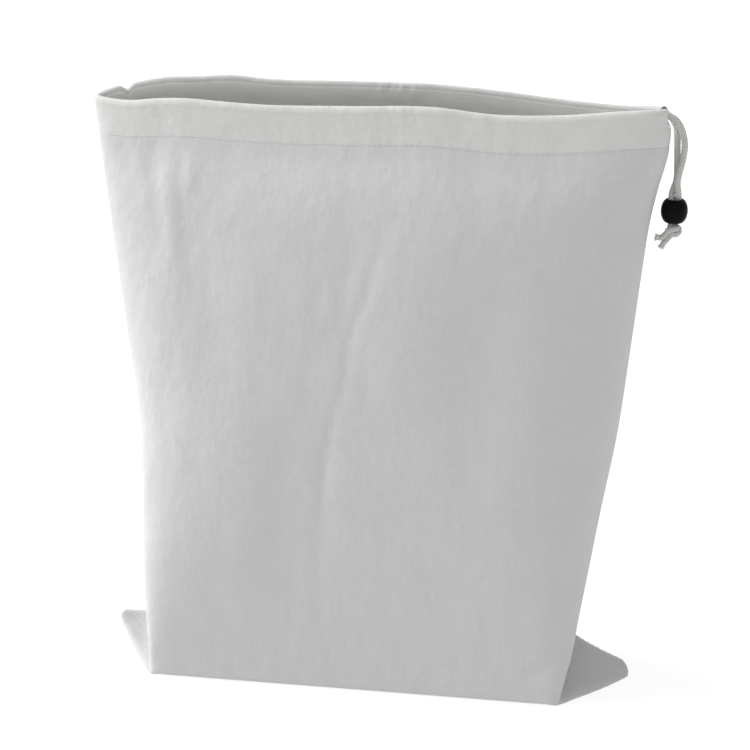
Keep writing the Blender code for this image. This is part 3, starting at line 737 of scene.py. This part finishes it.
def ear_height(ear, lateral, reach, wall, upper):
    """Height of an ear's upper or lower layer, closed by a rounded edge along its fold."""
    roll = ear.roll if wall == "back" else 0.0
    to_fold = (1 - lateral - reach).clip(0.0) * EAR / math.sqrt(2)
    middle = (EAR_THICK + roll * lateral.clip(0.0) ** 1.3 * EAR) / 2 * (reach / 0.15).clip(0.0, 1.0)
    top = ear_top(ear, lateral, reach, roll)
    rounded = round_edge(to_fold)
    return np.where(upper, middle + (top - middle) * rounded, middle * (1 - rounded))


def blunt(ear, reach):
    """The tip of an ear is squeezed short where it is folded under."""
    past = ((reach - ear.cut_from) / (1 - ear.cut_from)).clip(0.0, 1.0)
    squeezed = ear.cut_from + (ear.cut_to - ear.cut_from) * (1 - (1 - past) ** 2.3)
    return np.where(reach < ear.cut_from, reach, squeezed)


def floor_turn(distance):
    """Inset and height of a fold's round, at lengths up the wall, or under the base where negative."""
    half = FLOOR_TURN * math.pi / 4
    lap = ((distance + half) / FLOOR_TURN).clip(0.0, math.pi / 2)
    inset = FLOOR_TURN * (1 - np.sin(lap)) + (-distance - half).clip(0.0)
    return inset, FLOOR_TURN * (1 - np.cos(lap)) + (distance - half).clip(0.0)


# %% [markdown]
# ## Where each point of the flat cloth goes
# On a wall, a point is found on its level's line and then moved by the folds, the stitches and the
# rim's waves. Below, it lies under the base or in one layer of an ear. Each piece could have rules
# of its own. They are shared, so that the hem and the stitches follow the cloth exactly.

# %% Places on a wall
def wall_height(wall, shares, up):
    lift = BAND * smooth_read(RIM, "across", wall, shares)
    if wall == "back":
        lift = lift - RIM_NICK * np.exp(-((shares - NICK_AT) / NICK_WIDE) ** 2)
    return up * (STAND_HEIGHT + lift * up**2)


def wall_places(wall, up, shares, outward=0.0, over_stitch=None):
    """Places on a standing wall, above the floor's fold."""
    flat, out = plan_at(up, wall, shares)
    over = (up - STITCH_LINE) * STAND_HEIGHT if over_stitch is None else over_stitch
    push = fold_push(wall, shares, up) - stitch_pull(wall, shares, over) - outward
    places = flat - out * push[:, None]
    rise = min(max((up - BULGE_FROM) / BULGE_RISE, 0.0), 1.0)
    near_seam = np.exp(-((1 - shares) * FLAT_WIDTH / BULGE_WIDE) ** 2)
    places[:, 0] += CORNER_BULGE * rise**2 * (3 - 2 * rise) * near_seam
    return np.column_stack([places, wall_height(wall, shares, up)])


# %% Places under the bag and on its ears
def base_places(wall, across, high, middle):
    """Places under the bag and on its ears."""
    from_seam = np.minimum(across, FLAT_WIDTH - across)
    on_left = across < FLAT_WIDTH / 2
    side = np.where(on_left, -1.0, 1.0)
    lateral, reach = from_seam / EAR, 1 - high / EAR
    flat = from_seam > EAR - 1e-9
    upper = lateral + reach <= 1 + 1e-9
    below = ~flat & ~upper
    lateral, reach = np.where(below, 1 - reach, lateral), np.where(below, 1 - lateral, reach)
    share = np.where(flat, from_seam, lateral * EAR) / FLAT_WIDTH
    spot, _ = plan_at(0.0, wall, np.where(on_left, share, 1 - share))
    places = np.column_stack([spot, np.zeros(len(spot))])
    inset, height = floor_turn(high - EAR)
    whole = EAR + FLOOR_TURN * (1 - math.pi / 4)
    straight = 1 - reach
    places[flat, 1] *= (middle * (1 - inset / whole) + (1 - middle) * straight)[flat]
    places[flat, 2] = (height * middle)[flat]
    out = ~flat
    for on_side, ear in ((on_left, LEFT_EAR), (~on_left, RIGHT_EAR)):
        here = out & on_side
        if not here.any():
            continue
        far = blunt(ear, reach[here].clip(0.0, 1.0))
        places[here, 2] = ear_height(ear, lateral[here], reach[here], wall, upper[here])
        near_seam = np.exp(-(lateral[here] * EAR / 0.0030) ** 2) * upper[here]
        places[here, 2] -= SEAM_GROOVE * near_seam * (far / 0.1).clip(0.0, 1.0)
        slant = -facing_of(wall) * ear.slant * lateral[here]
        places[here, 0] += side[here] * far * EAR * (ear.reach + slant)
        places[here, 1] += ear.swing * EAR * far**1.3
        places[here, 2] += ear.lift * EAR * far**1.5
    return places


def carry(wall, across, high):
    """Places of points of the flat cloth: across from its left seam, high over its lower edge."""
    places = np.zeros((len(across), 3))
    from_seam = np.minimum(across, FLAT_WIDTH - across)
    on_left = across < FLAT_WIDTH / 2
    in_ear = (from_seam < EAR).astype(float)
    middle = ((from_seam - EAR) / BESIDE_EAR).clip(0.0, 1.0)
    middle = middle**2 * (3 - 2 * middle)
    share = from_seam / EAR
    foot = np.where(on_left, ear_height(LEFT_EAR, share, 0 * share, wall, True),
                    ear_height(RIGHT_EAR, share, 0 * share, wall, True)) * in_ear
    for level in np.unique(np.round(high[high > EAR - 1e-9], 7)):
        row = np.abs(high - level) < 1e-6
        up = (level - EAR) / STAND_HEIGHT
        spots = wall_places(wall, up, across[row] / FLAT_WIDTH)
        inset, height = floor_turn(np.full(row.sum(), level - EAR))
        spots[:, 1] -= np.sign(spots[:, 1]) * inset * middle[row]
        shift = (height - (level - EAR)) * middle[row] + foot[row] * (1 - up) ** 12
        spots[:, 2] += shift * max(0.0, 1 - up / 0.2)
        places[row] = spots
    under = high < EAR - 1e-9
    places[under] = base_places(wall, across[under], high[under], middle[under])
    return places


# %% [markdown]
# ## Cutting and laying the cloth
# A fold is only sharp along an edge of the mesh. A very fine grid would hide that. Instead each grid
# is cut along its two slanting folds, and its lines crowd together where the cloth bends most.

# %% A grid with crowded lines
def crowded(count, length, crowd, amount, width):
    """Places along a length, drawn together near some places."""
    dense = np.linspace(0.0, length, 2001)
    weight = 1 + sum(amount * np.exp(-((dense - at) / width) ** 2) for at in crowd)
    run = np.concatenate([[0.0], np.cumsum((weight[1:] + weight[:-1]) / 2)])
    return np.interp(np.linspace(0.0, run[-1], count + 1), run, dense)


# %% Cut and lay both cloths
COLUMNS = 172
ROWS = 118
CLOTH_TOP = EAR + STITCH_LINE * STAND_HEIGHT + 0.0012
column_places = crowded(COLUMNS, FLAT_WIDTH, (0.0, FLAT_WIDTH), 1.6, 0.006)
row_places = crowded(ROWS, CLOTH_TOP, (EAR, CLOTH_TOP), 1.6, 0.008)
row_places[np.abs(row_places - EAR).argmin()] = EAR

bm = bmesh.new()
flat_map = bm.loops.layers.uv.new("cloth")
for wall in ("front", "back"):
    verts = bmesh.ops.create_grid(bm, x_segments=COLUMNS, y_segments=ROWS, size=0.5)["verts"]
    for vert in verts:
        vert.co.x = column_places[round((vert.co.x + 0.5) * COLUMNS)]
        vert.co.y = row_places[round((vert.co.y + 0.5) * ROWS)]
        vert.co.z = 0.0
    faces = list({face for vert in verts for face in vert.link_faces})
    for corner, way in ((0.0, 1.0), (FLAT_WIDTH, -1.0)):
        corner_faces = []
        for face in faces:
            centre = face.calc_center_median() if face.is_valid else None
            if centre and abs(centre.x - corner) < EAR and centre.y < EAR:
                corner_faces.append(face)
        around_corner = {edge for face in corner_faces for edge in face.edges}
        around_corner |= {vert for face in corner_faces for vert in face.verts}
        geom = corner_faces + list(around_corner)
        cut = bmesh.ops.bisect_plane(bm, geom=geom, dist=1e-6, plane_co=(corner, 0.0, 0.0),
                                     plane_no=(1.0, -way, 0.0))
        verts += [item for item in cut["geom_cut"] if isinstance(item, bmesh.types.BMVert)]
    verts = list(dict.fromkeys(verts))
    faces = {face for vert in verts for face in vert.link_faces}
    for face in faces:
        for loop in face.loops:
            loop[flat_map].uv = (loop.vert.co.x + (0.0 if wall == "front" else BACK_FLAT), loop.vert.co.y)
    places = carry(wall, np.array([v.co.x for v in verts]), np.array([v.co.y for v in verts]))
    for vert, place in zip(verts, places):
        vert.co = place
bmesh.ops.remove_doubles(bm, verts=bm.verts, dist=2e-5)
bmesh.ops.recalc_face_normals(bm, faces=bm.faces)
outside = min(bm.faces, key=lambda face: face.calc_center_median().y)
if outside.normal.y > 0:
    bmesh.ops.reverse_faces(bm, faces=bm.faces)
print("loose edges of the laid cloth:", sum(edge.is_boundary for edge in bm.edges),
      "- the open mouth needs", 2 * COLUMNS)

bag = add_piece("bag_cloth", bm, body_cotton, inside_cotton_painted_light)
thick = bag.modifiers.new("thickness", "SOLIDIFY")
# The inner face of the thickness takes the lighter inside cotton, as painted light.
thick.material_offset = 1
thick.thickness = COTTON
thick.offset = -1.0
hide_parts("front_panel", "back_panel")

# %% [markdown]
# ## The hem round the mouth
# Each cloth's upper edge is folded over the cord to the inside and stitched down, 22 mm below the
# fold. The hem could be a hollow ring round the mouth. It is one long flat grid, bent over the cord
# like that cloth, so that its weave runs on over the fold. It stops short of the right seam near its
# top, where the cord comes out.

# %% Bend the hem over the cord
EXIT_SLOT = 0.017
HEM_COLUMNS = 620
CORD_IN_HEM = (-0.00252, 0.0184)   # the cord's place: out of the cloth's face, and over the stitches
HEM_ROUND = 0.00250
HEM_TOP = BAND - CORD_IN_HEM[1]
HEM_FLAT = 0.0150         # height over the stitches up to which the hem is flat
HEM_FOOT = 0.0018
INNER_FACE = -0.0012      # the turned-in layer, behind the cloth's face
SLOT_FROM = 0.008         # height over the stitches where the slot begins to open
SLOT_ROUND = 0.006
SEAM_INSET = 0.0006
CREASED = (0.44, 1.525)   # where small creases need more columns, in cloth widths from the right seam


def hem_profile():
    """The hem's line from the outer stitches over the cord to the inner ones: out, and high."""
    centre_out, centre_high = CORD_IN_HEM
    line = [(0.0, -0.0002), (0.0, 0.0004), (0.0, 0.0010), (0.0, HEM_FOOT)]
    line += [(0.0, high) for high in np.linspace(0.0030, HEM_FLAT, 9)]
    for lap in np.linspace(-18, 198, 25):
        lap = math.radians(lap)
        line.append((centre_out + HEM_ROUND * math.cos(lap),
                     centre_high + (HEM_TOP if math.sin(lap) > 0 else HEM_ROUND) * math.sin(lap)))
    inner = centre_out - HEM_ROUND
    for share in np.linspace(0.0, 1.0, 10)[1:]:
        high = HEM_FLAT * (1 - share) + HEM_FOOT * share
        line.append((inner + (INNER_FACE - inner) * share**0.8, high))
    line += [(-0.0011, 0.0010), (-0.0011, 0.0), (-0.0012, -0.0012)]
    return np.array(line)


profile = hem_profile()
past_top = np.arange(len(profile)) > np.argmax(profile[:, 1])
# Rows of the turned-in layer, which take the lighter inside cotton as painted light.
inner_painted_light_rows = past_top & (profile[:, 1] < CORD_IN_HEM[1] + 0.0006)
hem_run = np.concatenate([[0.0], np.cumsum(np.hypot(*np.diff(profile, axis=0).T))])
bm = bmesh.new()
flat_map = bm.loops.layers.uv.new("cloth")
grid = bmesh.ops.create_grid(bm, x_segments=HEM_COLUMNS, y_segments=len(profile) - 1, size=0.5)
verts = grid["verts"]
flat = np.array([(v.co.x + 0.5, v.co.y + 0.5) for v in verts])
rows = np.rint(flat[:, 1] * (len(profile) - 1)).astype(int)
columns = np.rint(flat[:, 0] * HEM_COLUMNS).astype(int)
hem_columns = crowded(HEM_COLUMNS, 2 * FLAT_WIDTH, [at * FLAT_WIDTH for at in CREASED], 1.4, 0.032)
places = np.zeros((len(verts), 3))
around = np.zeros(len(verts))
for row, (out, high) in enumerate(profile):
    here = np.where(rows == row)[0]
    open_part = np.clip((high - SLOT_FROM) / SLOT_ROUND, 0.0, 1.0)
    cut_back = SEAM_INSET + (EXIT_SLOT / 2 - SEAM_INSET) * open_part**2 * (3 - 2 * open_part)
    around[here] = cut_back + hem_columns[columns[here]] * (1 - cut_back / FLAT_WIDTH)
    up = 1 - (BAND - high) / STAND_HEIGHT
    for wall in ("front", "back"):
        part = here[(around[here] < FLAT_WIDTH) == (wall == "front")]
        share = np.where(wall == "front", 1 - around[part] / FLAT_WIDTH, around[part] / FLAT_WIDTH - 1)
        places[part] = wall_places(wall, up, share, outward=out, over_stitch=np.full(len(part), high))
for face in bm.faces:
    for loop in face.loops:
        i = loop.vert.index
        loop[flat_map].uv = (around[i], CLOTH_TOP + hem_run[rows[i]])
for vert, place in zip(verts, places):
    vert.co = place
bmesh.ops.recalc_face_normals(bm, faces=bm.faces)
outside = max(bm.faces, key=lambda face: face.calc_center_median().z)
if outside.normal.z < 0:
    bmesh.ops.reverse_faces(bm, faces=bm.faces)
for face in bm.faces:
    face.material_index = int(inner_painted_light_rows[min(rows[vert.index] for vert in face.verts)])
hem = add_piece("hem_cloth", bm, band_cotton, inside_cotton_painted_light)
thick = hem.modifiers.new("thickness", "SOLIDIFY")
thick.thickness = COTTON
thick.offset = -1.0
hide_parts("casing")
print("hem cloth:", round(hem_run[-1] * 1000, 1), "mm from edge to edge")

# %% [markdown]
# ## Stitches
# The hem is sewn down with one row of lockstitch, seen on both faces. A dashed line in the material
# would look printed on. Each stitch is a small rounded piece of thread instead, drawn slightly into
# the cloth, with a short gap to the next.

# %% Sew the hem
STITCH = 0.0031
STITCH_HIGH = 0.0006
STITCH_SHARE = 0.86       # how much of the way to the next stitch the thread fills
THREAD_THICK = 0.00042
STITCHED_FACES = (0.00002, -0.00158)   # out of the cloth's face, on the outside and inside
bm = bmesh.new()
count = 0
for wall in ("front", "back"):
    ends = np.arange(0.002, FLAT_WIDTH - 0.002, STITCH) / FLAT_WIDTH
    up = 1 - (BAND - STITCH_HIGH) / STAND_HEIGHT
    for outward in STITCHED_FACES:
        line = wall_places(wall, up, ends, outward=outward, over_stitch=np.full(len(ends), STITCH_HIGH))
        for start, end in zip(line[:-1], line[1:]):
            start, end = Vector(start), Vector(end)
            way = end - start
            made = bmesh.ops.create_uvsphere(bm, u_segments=6, v_segments=5, radius=0.5)["verts"]
            bmesh.ops.scale(bm, verts=made, vec=(THREAD_THICK, THREAD_THICK, way.length * STITCH_SHARE))
            bmesh.ops.rotate(bm, verts=made, matrix=way.to_track_quat("Z", "Y").to_matrix())
            bmesh.ops.translate(bm, verts=made, vec=(start + end) / 2)
            count += 1
stitches = add_piece("hem_stitches", bm, thread_white)
print(count, "stitches of", round(STITCH * 1000, 1), "mm")

# %% [markdown]
# ## The cord inside the hem
# The part's own run of cord stays inside the hem. A braid all the way round would take many faces
# that nobody sees. It shows only in the opening at the right seam, so it keeps its solid and takes
# a darker copy of the cord's material, as painted shade for the inside of the hem.

# %% Dress the hidden cord
run_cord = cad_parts["drawcord_run"]
run_cord.data.materials.clear()
# Painted shade: a darker copy of the cord's colour for the cord inside the hem.
run_cord.data.materials.append(cord_look("cotton_cord_run", (0.60, 0.595, 0.57)))
for polygon in run_cord.data.polygons:
    polygon.use_smooth = True

# %% [markdown]
# ## Floor and light
# A product photograph on white: the floor glows faintly, as a light table does, so that no shadow
# greys it. A studio's lamps could be copied one by one. Two lights are enough here: a broad one high
# on the left, which makes that side and the left ear lighter, and an even white sky.

# %% Set the stage
SKY_LIGHT = 0.72
KEY_LIGHT = 4.1
KEY_FROM = (-0.78, 0.05, 0.62)
KEY_SPREAD = 45           # degrees of the sky that the light fills
FLOOR_GLOW = 0.82
FLOOR_SIZE = 14.0

bm = bmesh.new()
bmesh.ops.create_grid(bm, x_segments=1, y_segments=1, size=FLOOR_SIZE)
mesh = bpy.data.meshes.new("floor")
bm.to_mesh(mesh)
bm.free()
floor = bpy.data.objects.new("floor", mesh)
floor.location.z = -0.0003
scene.collection.objects.link(floor)
floor_white, floor_shader = new_material("floor_white", 0.9)
floor_shader.inputs["Base Color"].default_value = (0.22, 0.22, 0.22, 1.0)
floor_shader.inputs["Emission Color"].default_value = (1.0, 1.0, 1.0, 1.0)
floor_shader.inputs["Emission Strength"].default_value = FLOOR_GLOW
floor.data.materials.append(floor_white)

world = bpy.data.worlds.new("studio")
world.use_nodes = True
sky = world.node_tree.nodes["Background"].inputs
sky["Color"].default_value = (1.0, 1.0, 1.0, 1.0)
sky["Strength"].default_value = SKY_LIGHT
scene.world = world

lamp = bpy.data.lights.new("key_left", "SUN")
lamp.energy = KEY_LIGHT
lamp.angle = math.radians(KEY_SPREAD)
light = bpy.data.objects.new("key_left", lamp)
light.rotation_euler = Vector(KEY_FROM).to_track_quat("Z", "Y").to_euler()
scene.collection.objects.link(light)
scene.view_settings.view_transform = "Standard"
scene.view_settings.look = "None"
